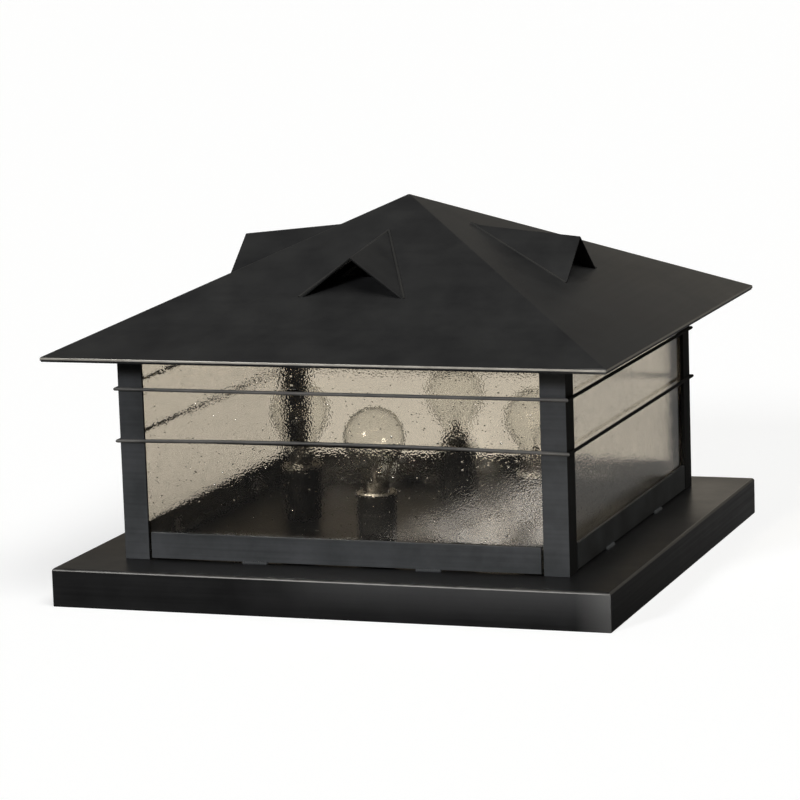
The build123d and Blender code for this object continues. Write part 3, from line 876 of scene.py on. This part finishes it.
class PIERLIGHT_OT_glass(bpy.types.Operator):
    """Four seeded panes"""

    bl_idname = "pierlight.glass"
    bl_label = "Seeded panes"

    def execute(self, context):
        glass = context.scene.pierlight_glass
        width, thick, height = PANE_HIGH - PANE_LOW
        stand = Matrix.Translation((0, (PANE_LOW.y + PANE_HIGH.y) / 2, (PANE_LOW.z + PANE_HIGH.z) / 2))
        stand = stand @ Matrix.Rotation(math.pi / 2, 4, "X")
        tree = pane_tree()
        for turn, side in enumerate(SIDES):
            values = {
                "Size": (width, height, thick - glass.wave_height),
                "Wave height": glass.wave_height,
                "Wave length": glass.wave_length,
                "Mesh": 2.5 * MM,
                "Seeds": glass.seeds,
                "Smallest": glass.seed_small,
                "Largest": glass.seed_large,
                "Draw": glass.draw + turn,
                "Material": finish_of("pane"),
            }
            mesh = grown(None, (tree, values))
            mesh.transform(quarter(turn) @ stand)
            node, smooth = f"glass_pane_{side}", math.radians(50)
            piece(f"pane_{side}", mesh, "lantern", [node], ["pane"], smooth)
        return {"FINISHED"}


class PIERLIGHT_OT_clips(bpy.types.Operator):
    """Spring clips behind the panes"""

    bl_idname = "pierlight.clips"
    bl_label = "Glass clips"

    def execute(self, context):
        seat, head = levels("glass_clips")
        glass = -PANE_HIGH.y / MM - 0.2
        face = -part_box("glass_clips")[0].y / MM
        sheet, tongue, step = 1.2, 11, head - 5.2
        back = glass - sheet
        foot = [(glass, seat), (glass, seat + tongue), (back, seat + tongue), (back, seat + sheet)]
        foot += [(back - 4, seat + sheet), (back - 4, seat)]
        over = [(face, head), (face, step), (glass, step), (glass, step - tongue), (back, step - tongue)]
        over += [(back, step + sheet), (face - sheet, step + sheet), (face - sheet, head)]
        shape = bmesh.new()
        for section in (foot, over):
            bent_strip(shape, rounded(section, 0.5), 12)
        mesh = on_four_sides(shape, "zinc", 2, 220 * MM)
        piece("clips", mesh, "lantern", ["glass_clips"], ["zinc"])
        return {"FINISHED"}


class PIERLIGHT_OT_roof(bpy.types.Operator):
    """Roof shell with its gablets, seams and cleats"""

    bl_idname = "pierlight.roof"
    bl_label = "Roof"

    def execute(self, context):
        steel = context.scene.pierlight_steel
        self.shell(steel)
        for side in SIDES:
            node = f"gablet_{side}"
            shape = burnish_folds(cad_shape(node), steel.fold)
            finishes = ["roof", "painted_shade", "burnished"]
            gablet = piece(f"{node}_folded", shape, "roof", [node], finishes)
            # the vertical edges of the gablet's mouth take painted shade
            second_finish(gablet, lambda face: abs(face.normal.z) < 0.05 and outward(face) > 100 * MM)
            ease_edges(gablet, 1.6 * steel.ease)
        self.seams(steel)
        cleats = dressed("cleats", "roof_cleats", "roof", "painted_steel", "coat")
        ease_edges(cleats, steel.ease)
        return {"FINISHED"}

    def shell(self, steel):
        """Four panels joined at the hips, with the eave's face rubbed above a line of coat."""
        panels = [f"roof_panel_{side}" for side in SIDES]
        shape = cad_shape(*panels, drop=lambda n: abs(n.z) < 0.01 and abs(abs(n.x) - abs(n.y)) < 0.01)
        coated = EAVE_LOW + steel.eave_coat
        whole = [*shape.verts, *shape.edges, *shape.faces]
        bmesh.ops.bisect_plane(shape, geom=whole, plane_co=(0, 0, coated), plane_no=(0, 0, 1))
        burnish_folds(shape, steel.fold)
        finishes = ["roof", "rubbed", "burnished"]
        shell = piece("roof_shell", shape, "roof", panels, finishes)

        def rubbed(face):
            at_eave = max(abs(face.center.x), abs(face.center.y)) > EAVE - 0.1 * MM
            return at_eave and abs(face.normal.z) < 0.1 and face.center.z > coated

        second_finish(shell, rubbed)
        ease_edges(shell, steel.ease)

    def seams(self, steel):
        """A bead of solder along the foot of each gablet's two wings, its paler tone a painted highlight."""
        low, high, clear = GABLET_LOW, GABLET_HIGH, 1.6 * steel.seam
        back = Vector((0, high.y + clear, high.z + clear * ROOF_PITCH))
        shape = bmesh.new()
        for foot in (low.x - clear, high.x + clear):
            tube(shape, [Vector((foot, low.y, low.z)), back], steel.seam)
        piece("gablet_seams", on_four_sides(shape, "solder"), "roof", [], ["solder"])


class PIERLIGHT_OT_hem(bpy.types.Operator):
    """Hem of the roof: the sheet turned back under the eaves"""

    bl_idname = "pierlight.hem"
    bl_label = "Roof hem"

    def execute(self, context):
        steel = context.scene.pierlight_steel
        outside = EAVE - steel.hem_back
        inner = outside - steel.hem_width
        rings = []
        shape = bmesh.new()
        for out, drop in ((outside, 0), (inner, 0), (inner, steel.hem_sheet), (outside, steel.hem_sheet)):
            z = EAVE_LOW + (EAVE - out) * ROOF_PITCH - drop
            corners = ((-out, -out), (out, -out), (out, out), (-out, out))
            rings.append([shape.verts.new((x, y, z)) for x, y in corners])
        for first, second in zip(rings, rings[1:] + rings[:1]):
            for i in range(4):
                j = (i + 1) % 4
                shape.faces.new((first[i], first[j], second[j], second[i]))
        bmesh.ops.recalc_face_normals(shape, faces=shape.faces)
        piece("roof_hem", shape, "roof", [], ["coat"])
        return {"FINISHED"}


class PIERLIGHT_OT_screws(bpy.types.Operator):
    """Socket screws of the roof, one to a side"""

    bl_idname = "pierlight.screws"
    bl_label = "Roof screws"

    def execute(self, context):
        low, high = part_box("roof_screws")
        head, crown = (high.z - low.z) / 2 / MM, -low.y / MM
        tail, seat, shank = crown - 12.5, crown - 2.8, 2
        section = [(0, tail), (shank - 0.4, tail), (shank, tail + 0.4), (shank, seat), (head - 0.3, seat)]
        section += [(head, seat + 0.4), (head - 0.25, crown - 1.4), (head - 1, crown - 0.4)]
        # the hexagon of the socket, which narrows a little from its mouth
        section += [(head - 1.9, crown), (1.6, crown, 1.25), (1.55, crown - 0.15, 1.2)]
        section += [(1.55, crown - 1.6, 1.2), (0, crown - 1.9)]
        lie = Matrix.Translation((0, 0, (low.z + high.z) / 2)) @ Matrix.Rotation(math.pi / 2, 4, "X")
        mesh = on_four_sides(moved(turned(section, 48, hexagon), lie), "zinc")
        piece("screws", mesh, "roof", ["roof_screws"], ["zinc"])
        return {"FINISHED"}


class PIERLIGHT_OT_lampholders(bpy.types.Operator):
    """Moulded lampholders, with their shells, contacts, nipples and locknuts"""

    bl_idname = "pierlight.lampholders"
    bl_label = "Lampholders"

    def execute(self, context):
        lamps = context.scene.pierlight_lamps
        self.holders()
        self.shells(lamps.cap_pitch / MM)

        low, high = levels("threaded_nipples")
        bore, chamfer, outside = 3.4, 4.4, 5
        wall = threaded_wall(outside, low + 0.5, high - 0.5, 1, 0.25)
        section = [(bore, low), (chamfer, low), *wall, (chamfer, high), (bore, high)]
        rule = rolled_thread(lamps.nipple_pitch / MM, 0.5)
        self.ring("nipples", section, rule, "brass", "threaded_nipples", "brass")

        low, high = levels("locknuts")
        bore, chamfer, corner, flat = 5.1, 7.1, 8.2, 7
        section = [(bore, low), (chamfer, low, flat), (corner, low + 0.6, flat)]
        section += [(corner, high - 0.6, flat), (chamfer, high, flat), (bore, high)]
        self.ring("locknuts_hex", section, hexagon, "plated_steel", "locknuts", "zinc")

        floor, crown = levels("centre_contacts")
        sheet = 0.8
        over = [(11, floor), (11, floor + sheet), (7, floor + sheet), (3, crown)]
        under = [(6.2, floor), (2.2, crown - sheet)]
        section = over + [(-a, b) for a, b in reversed(over)] + [(-a, b) for a, b in under] + under[::-1]
        shape = bmesh.new()
        bent_strip(shape, section, 7)
        mesh = on_four_sides(moved(shape, at_lamp(0) @ quarter(1)), "brass")
        piece("contacts", mesh, "lantern", ["centre_contacts"], ["brass"])
        return {"FINISHED"}

    def holders(self):
        """Moulded bodies with a groove round them, a cavity for the shell and a bore for the nipple."""
        low, top = levels("lampholder_front")
        wide = HOLDER_RADIUS_MM
        foot, cavity, bore, floor = wide - 1.25, wide - 4.5, 5.1, low + 24
        groove, groove_low, groove_high = wide - 0.6, top - 19.2, top - 18
        section = [(bore, low), (foot, low), (wide, groove_low), (groove, groove_low), (groove, groove_high)]
        section += [(wide, groove_high), (wide, top), (cavity, top), (cavity, floor), (bore, floor)]
        for turn, side in enumerate(SIDES):
            shape = moved(turned(rounded(section, 0.5), 72), at_lamp(turn))
            node = f"lampholder_{side}"
            piece(f"holder_{side}", shape, "lantern", [node], ["phenolic"])

    def shells(self, pitch):
        """Thin screw shells, whose rolled rim lies on the holder."""
        bottom, high = levels("screw_shells")
        top = HOLDER_HIGH.z / MM
        wide, inner, outer, bend, roll = HOLDER_RADIUS_MM, 13.3, 13.9, 0.35, 1.2
        section = threaded_wall(inner, bottom, top - 1, 2.5, 0.45)
        section += [(inner, high - roll), (inner + bend, high - bend), (inner + roll, high)]
        section += [(wide - roll, high), (wide - bend, high - bend), (wide, high - roll)]
        section += [(wide - bend, top + bend), (wide - roll, top), (outer, top)]
        section += threaded_wall(outer, top - 1, bottom, 2.5, 0.45)
        self.ring("shells", section, rolled_thread(pitch, -0.8), "nickel_shell", "screw_shells", "nickel")

    def ring(self, name, section, rule, slot, node, finish):
        """A turned piece at each lamp."""
        shape = moved(turned(section, 48, rule), at_lamp(0))
        piece(name, on_four_sides(shape, finish), "lantern", [node], [finish])


class PIERLIGHT_OT_bulbs(bpy.types.Operator):
    """Blown bulbs, their screw caps and filaments"""

    bl_idname = "pierlight.bulbs"
    bl_label = "Bulbs"

    def execute(self, context):
        lamps = context.scene.pierlight_lamps
        for turn, side in enumerate(SIDES):
            self.envelope(turn, side)
            self.cap(turn, side, lamps.cap_pitch / MM)
            self.filament(turn, side, lamps.coil)
        return {"FINISHED"}

    def envelope(self, turn, side):
        """Globe, hollow sweep and neck, as one thin wall."""
        foot, top = levels("bulb_glass_front")
        throat = levels("bulb_cap_front")[1]
        low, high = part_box("bulb_glass_front")
        globe, neck, wall = (high.x - low.x) / 2 / MM, 12.2, 0.35
        centre = top - globe
        drop = centre - throat
        sweep = (neck**2 + drop**2 - globe**2) / (2 * (globe - neck))
        lean = math.degrees(math.atan2(drop, neck + sweep))
        walls = []
        for inset in (0, wall):
            line = arc((0, centre), globe - inset, 90, -lean, 40)
            line += arc((neck + sweep, throat), sweep + inset, 180 - lean, 180, 24)[1:]
            line += [(neck - inset, foot)]
            line[0] = (0, line[0][1])
            walls.append(line)
        shape = moved(turned(walls[0] + walls[1][::-1], 96), at_lamp(turn))
        node, smooth = f"bulb_glass_{side}", math.radians(60)
        piece(f"bulb_{side}_envelope", shape, f"bulb_{side}", [node], ["bulb"], smooth)

    def cap(self, turn, side, pitch):
        """Screw cap with a rolled thread, a collar with a bright lip, and a black insulator."""
        low, high = levels("bulb_cap_front")
        insulator, collar, crest, inner = low + 4, high + 5.5, 13, 12.5
        button, lip = 4.75, 0.9
        section = [(0, low), (3.6, low), (button, low + 0.6), (button, low + 1), (9.6, insulator)]
        section += [(11.6, insulator), (12.3, insulator + 0.6)]
        section += threaded_wall(crest, insulator + 1.2, high - 4.6, 2, 0.45)
        section += [(12.6, high - 4.2), (12.6, high - 3.4), (crest, high - 2.8), (crest, collar - 2 * lip)]
        section += arc((crest, collar - lip), lip, -80, 90, 8)
        section += [(12.75, collar - 0.1), (inner, high), (inner, high - 6), (0, high - 6)]
        shape = turned(section, 64, rolled_thread(pitch, 0.95))
        for face in shape.faces:
            middle = face.calc_center_median() / MM
            out = middle.xy.length
            if middle.z < insulator + 0.1 and out < 11:
                face.material_index = 2 if out < 4.8 and middle.z < low + 1.01 else 1
            elif middle.z > collar - 2 * lip - 0.01:
                face.material_index = 3
        moved(shape, at_lamp(turn))
        finishes = ["brass", "phenolic", "zinc", "nickel"]
        piece(f"bulb_{side}_cap", shape, f"bulb_{side}", [f"bulb_cap_{side}"], finishes)

    def filament(self, turn, side, coil_radius):
        """Flared glass stem, lead wires, fine supports and a coiled filament in an arc between the leads."""
        node = f"filament_mount_{side}"
        foot = levels("bulb_glass_front")[0]
        stem, tip = foot + 26, levels(node)[1] - 0.6
        flare, rod, pinch = 11.1, 3.5, 4.2
        section = [(0, foot), (flare, foot), (flare, foot + 1), (rod, foot + 6), (rod, stem - 5)]
        section += [(pinch, stem - 2), (0, stem)]
        shape = turned(rounded(section, 0.6), 40)
        for face in shape.faces:
            face.material_index = 1
        span, sag = 12, 7
        bend = (span**2 + sag**2) / (2 * sag)
        spread = math.asin(span / bend)

        def along(t):
            """A point of the filament's arc, from -1 to 1."""
            a = t * spread
            return Vector((bend * math.sin(a), bend - sag - bend * math.cos(a), tip)) * MM

        for end in (-1, 1):
            start = Vector((end * 1.75, 0, stem - 3)) * MM
            elbow = Vector((end * 2.4, 0, stem + 4)) * MM
            tube(shape, [start, elbow, along(end * 0.99)], 0.4 * MM)
        up = Vector((0, 0, 1))
        hub = Vector((0, 0, stem - 0.6)) * MM
        for t in (-0.45, 0, 0.45):
            # supports are 0.2 mm wire in life; drawn at 0.4 mm, so that they show
            tube(shape, [hub, hub.lerp(along(t), 0.35) + 1.5 * MM * up, along(t)], 0.2 * MM, 6)
        turns, each = 34, 8
        coil = []
        for i in range(turns * each + 1):
            t = -1 + 2 * i / (turns * each)
            a = 2 * math.pi * i / each
            ahead = (along(min(1, t + 0.01)) - along(max(-1, t - 0.01))).normalized()
            coil.append(along(t) + coil_radius * (math.cos(a) * up.cross(ahead) + math.sin(a) * up))
        # filament wire is 0.05 mm in life; drawn at 0.26 mm, so that it shows
        tube(shape, coil, 0.13 * MM, 5)
        moved(shape, at_lamp(turn))
        finishes = ["tungsten", "bulb"]
        piece(f"bulb_{side}_filament", shape, f"bulb_{side}", [node], finishes)


class PIERLIGHT_OT_stage(bpy.types.Operator):
    """Floor, light and camera"""

    bl_idname = "pierlight.stage"
    bl_label = "Studio"

    def execute(self, context):
        scene = context.scene
        scene.view_settings.view_transform = "Standard"
        for step in (self.floor, self.room, self.lights, self.view):
            step(scene, scene.pierlight_studio)
        return {"FINISHED"}

    def floor(self, scene, studio):
        """A round sheet of pale paper."""
        shape = bmesh.new()
        bmesh.ops.create_circle(shape, cap_ends=True, segments=96, radius=12)
        mesh = bpy.data.meshes.new("floor")
        shape.to_mesh(mesh)
        shape.free()
        floor = bpy.data.objects.new("floor", mesh)
        scene.collection.objects.link(floor)
        settings = {"Roughness": 0.9, "Specular IOR Level": 0.1, "Emission Color": WHITE}
        paper, tree, shader, place = surface("Floor paper, matt", settings)
        # the floor in front lies in shade, the floor behind does not
        depth = add(tree, TO_XYZ, {0: place}).outputs[1]
        shade = add(tree, RANGE, {0: depth, 1: -0.3, 2: 0.5, 3: 0.005, 4: studio.mirrored})
        seen = looked_at(tree, shade)
        lift = add(tree, MATH, {0: seen, 1: studio.floor_lift}, operation="MULTIPLY")
        # what the black steel mirrors is a dim floor, so that black stays black
        pale = add(tree, MIX, {0: seen, 6: studio.floor_dim, 7: studio.floor}, data_type="RGBA")
        feed(tree, shader, {"Base Color": pale, "Emission Strength": lift})
        mesh.materials.append(paper)

    def room(self, scene, studio):
        """White where it is looked at; in reflections warm and pale near the horizon, and dim overhead."""
        world = bpy.data.worlds.new("Studio")
        scene.world = world
        world.use_nodes = True
        tree = world.node_tree
        path = add(tree, "ShaderNodeLightPath").outputs
        aim = add(tree, "ShaderNodeTexCoord").outputs["Generated"]
        height = add(tree, TO_XYZ, {0: aim}).outputs[2]
        fall = {0: height, 1: 0.2, 2: 0.7, 3: studio.horizon, 4: studio.overhead}
        fall = add(tree, RANGE, fall, interpolation_type="SMOOTHSTEP")
        # the backdrop behind glows
        behind = add(tree, VECTOR_MATH, {0: aim, 1: (-0.15, 0.985, 0.09)}, operation="DOT_PRODUCT")
        glow = {0: behind, 1: 0.968, 2: 0.995, 3: 0, 4: studio.glow}
        glow = add(tree, RANGE, glow, interpolation_type="SMOOTHSTEP")
        level = add(tree, MATH, {0: fall, 1: glow}, operation="ADD")
        level = add(tree, MIX, {0: path["Is Diffuse Ray"], 2: level, 3: studio.fill}, data_type="FLOAT")
        seen = looked_at(tree, 0.05)
        level = add(tree, MIX, {0: seen, 2: level, 3: 1}, data_type="FLOAT")
        warm = add(tree, RANGE, {0: height, 1: 0.2, 2: 0.6})
        hue = add(tree, MIX, {0: warm, 6: studio.room, 7: WHITE}, data_type="RGBA")
        hue = add(tree, MIX, {0: seen, 6: hue, 7: WHITE}, data_type="RGBA")
        feed(tree, tree.nodes["Background"], {"Color": hue, "Strength": level})

    def lamp(self, name, kind, power, place, aim=(0, 0, 0.15), **settings):
        """A lamp at a place, turned to a point, which the camera doesn't see."""
        light = bpy.data.lights.new(name, kind)
        light.energy = power
        for setting, value in settings.items():
            setattr(light, setting, value)
        holder = bpy.data.objects.new(name, light)
        bpy.context.scene.collection.objects.link(holder)
        holder.location = place
        holder.rotation_euler = (Vector(aim) - Vector(place)).to_track_quat("-Z", "Y").to_euler()
        holder.visible_camera = False
        return holder

    def lights(self, scene, studio):
        """A key with a spark in it, a soft top, a low side light, a card in front and the floor's bounce."""
        front = (-0.96, -2.65, 1.18)
        key = self.lamp("key", "SUN", studio.key, front, angle=math.radians(9), color=linear("#F6F8FF"))
        key.visible_glossy = False
        self.lamp("top", "SUN", studio.top, (1.05, -0.95, 2.45), angle=math.radians(35))
        spark = self.lamp("spark", "AREA", studio.spark, front, size=0.7)
        self.lamp("side", "AREA", studio.side, (2.2, -2.05, 0.35), size=0.2)
        spot = (0.2583, -0.5171, 0.0385)
        sheet = {"shape": "RECTANGLE", "size": 1, "size_y": 0.402, "color": linear("#FFF8EE")}
        card = self.lamp("front_card", "AREA", studio.card, spot, **sheet)
        card.rotation_euler = (math.pi, 0, math.radians(9.46))
        self.crumple(card.data)
        spot, above = (0.31, -0.485, 0.002), (0.31, -0.485, 1)
        sheet = {"shape": "RECTANGLE", "size": 0.78, "size_y": 0.17}
        bounce = self.lamp("floor_bounce", "AREA", studio.bounce, spot, above, **sheet)
        # flagged off the glass, which would mirror it
        lit = bpy.data.collections.new("lit_by_bounce")
        lit.objects.link(bpy.data.objects["pan"])
        bounce.light_linking.receiver_collection = lit
        for holder in (spark, card, bounce):
            holder.visible_diffuse = False

    def crumple(self, card):
        """Crumpled foil, so that its image in the rippled glass is broken."""
        card.use_nodes = True
        foil = card.node_tree
        spot = add(foil, "ShaderNodeNewGeometry").outputs
        folds = add(foil, MAPPING, {"Vector": spot["Parametric"], "Scale": (50, 7, 1)})
        folds = add(foil, NOISE, {"Vector": folds, "Scale": 1, "Detail": 1})
        gleam = add(foil, RANGE, {0: folds, 1: 0.35, 2: 0.65, 3: 0.15, 4: 1.85})
        # its left part lies in shade, which deepens to the left
        along = {0: spot["Position"], 1: (0.9864, 0.1644, 0)}
        along = add(foil, VECTOR_MATH, along, operation="DOT_PRODUCT")
        dim = add(foil, RANGE, {0: along, 1: -0.17, 2: -0.03, 3: 0, 4: 0.07})
        lit = add(foil, RANGE, {0: along, 1: -0.08, 2: -0.02, 3: 0, 4: 0.93})
        lit = add(foil, MATH, {0: dim, 1: lit}, operation="ADD")
        gleam = add(foil, MATH, {0: lit, 1: gleam}, operation="MULTIPLY")
        # it shows in reflections, and not through the panes
        bounced = add(foil, "ShaderNodeLightPath").outputs["Glossy Depth"]
        gleam = add(foil, MATH, {0: bounced, 1: gleam}, operation="MULTIPLY")
        feed(foil, foil.nodes["Emission"], {"Strength": gleam})

    def view(self, scene, studio):
        """The camera at the panel's angles, looking at the target."""
        a, e, r = studio.azimuth, studio.elevation, studio.roll
        back = Vector((math.sin(a) * math.cos(e), -math.cos(a) * math.cos(e), math.sin(e)))
        right = Vector((math.cos(a), math.sin(a), 0))
        up = back.cross(right)
        across = math.cos(r) * right + math.sin(r) * up
        above = -math.sin(r) * right + math.cos(r) * up
        lens = bpy.data.cameras.new("camera")
        lens.lens = studio.lens
        lens.sensor_width = 36
        camera = bpy.data.objects.new("camera", lens)
        scene.collection.objects.link(camera)
        turn = Matrix((across, above, back)).transposed().to_4x4()
        camera.matrix_world = Matrix.Translation(Vector(studio.target) + back * studio.distance) @ turn
        scene.camera = camera


class PIERLIGHT_PT_panel(bpy.types.Panel):
    """Pieces of the light, in the order of their making"""

    bl_idname = "PIERLIGHT_PT_panel"
    bl_label = "Pier mount light"
    bl_space_type = "VIEW_3D"
    bl_region_type = "UI"
    bl_category = "Pier light"

    def draw(self, context):
        for name in GROUPS:
            box = self.layout.box()
            group = getattr(context.scene, name)
            for setting in group.__annotations__:
                box.prop(group, setting)
        for operator in OPERATORS:
            self.layout.operator(operator.bl_idname)


GROUPS = {
    "pierlight_steel": PIERLIGHT_PG_steel,
    "pierlight_glass": PIERLIGHT_PG_glass,
    "pierlight_lamps": PIERLIGHT_PG_lamps,
    "pierlight_studio": PIERLIGHT_PG_studio,
}
OPERATORS = (
    PIERLIGHT_OT_base,
    PIERLIGHT_OT_frame,
    PIERLIGHT_OT_welds,
    PIERLIGHT_OT_glass,
    PIERLIGHT_OT_clips,
    PIERLIGHT_OT_roof,
    PIERLIGHT_OT_hem,
    PIERLIGHT_OT_screws,
    PIERLIGHT_OT_lampholders,
    PIERLIGHT_OT_bulbs,
    PIERLIGHT_OT_stage,
)
CLASSES = (*GROUPS.values(), *OPERATORS, PIERLIGHT_PT_panel)


def register():
    for cls in CLASSES:
        bpy.utils.register_class(cls)
    for name, group in GROUPS.items():
        setattr(bpy.types.Scene, name, PointerProperty(type=group))


def unregister():
    for name in GROUPS:
        delattr(bpy.types.Scene, name)
    for cls in reversed(CLASSES):
        bpy.utils.unregister_class(cls)


def main():
    register()
    for operator in OPERATORS:
        group, name = operator.bl_idname.split(".")
        getattr(getattr(bpy.ops, group), name)()


if __name__ == "__main__":
    main()
